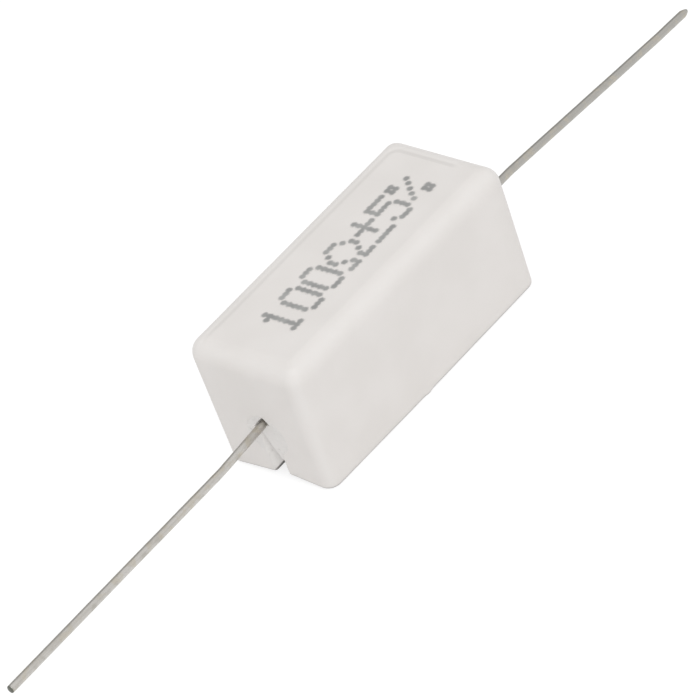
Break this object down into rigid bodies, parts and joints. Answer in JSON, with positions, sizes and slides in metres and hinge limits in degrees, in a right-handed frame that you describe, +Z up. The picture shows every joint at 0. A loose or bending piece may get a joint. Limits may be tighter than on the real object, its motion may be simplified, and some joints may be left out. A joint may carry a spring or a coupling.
{
  "type": "axial resistor",
  "caption": "Rectangular ceramic-cased wirewound power resistor with a tinned wire lead leaving each end wall and cement filling the open underside.",
  "frame": {"origin": "middle of the cement face on the open side, level with the rim that the part rests on", "axes": "+X along the leads towards the right-hand lead, +Z up out of the printed face, +Y across the case so that the print reads along +X"},
  "size_m": [0.0716, 0.0096, 0.0101],
  "materials": {
    "white_ceramic": "unglazed, fine-grained, soft sheen",
    "cement": "rough, slightly pitted",
    "core_ceramic": "unglazed",
    "resistance_alloy": "drawn wire, slightly oxidised",
    "cap_steel": "plated, satin",
    "tinned_wire": "tinned, satin, slightly oxidised",
    "grey_ink": "matt inkjet dots"
  },
  "bodies": {
    "root": {"ceramic_case": "white_ceramic", "cement_fill": "cement", "core_rod": "core_ceramic", "resistance_winding": "resistance_alloy", "left_end_cap": "cap_steel", "right_end_cap": "cap_steel", "left_lead": "tinned_wire", "right_lead": "tinned_wire", "printed_marking": "grey_ink"}
  },
  "joints": []
}
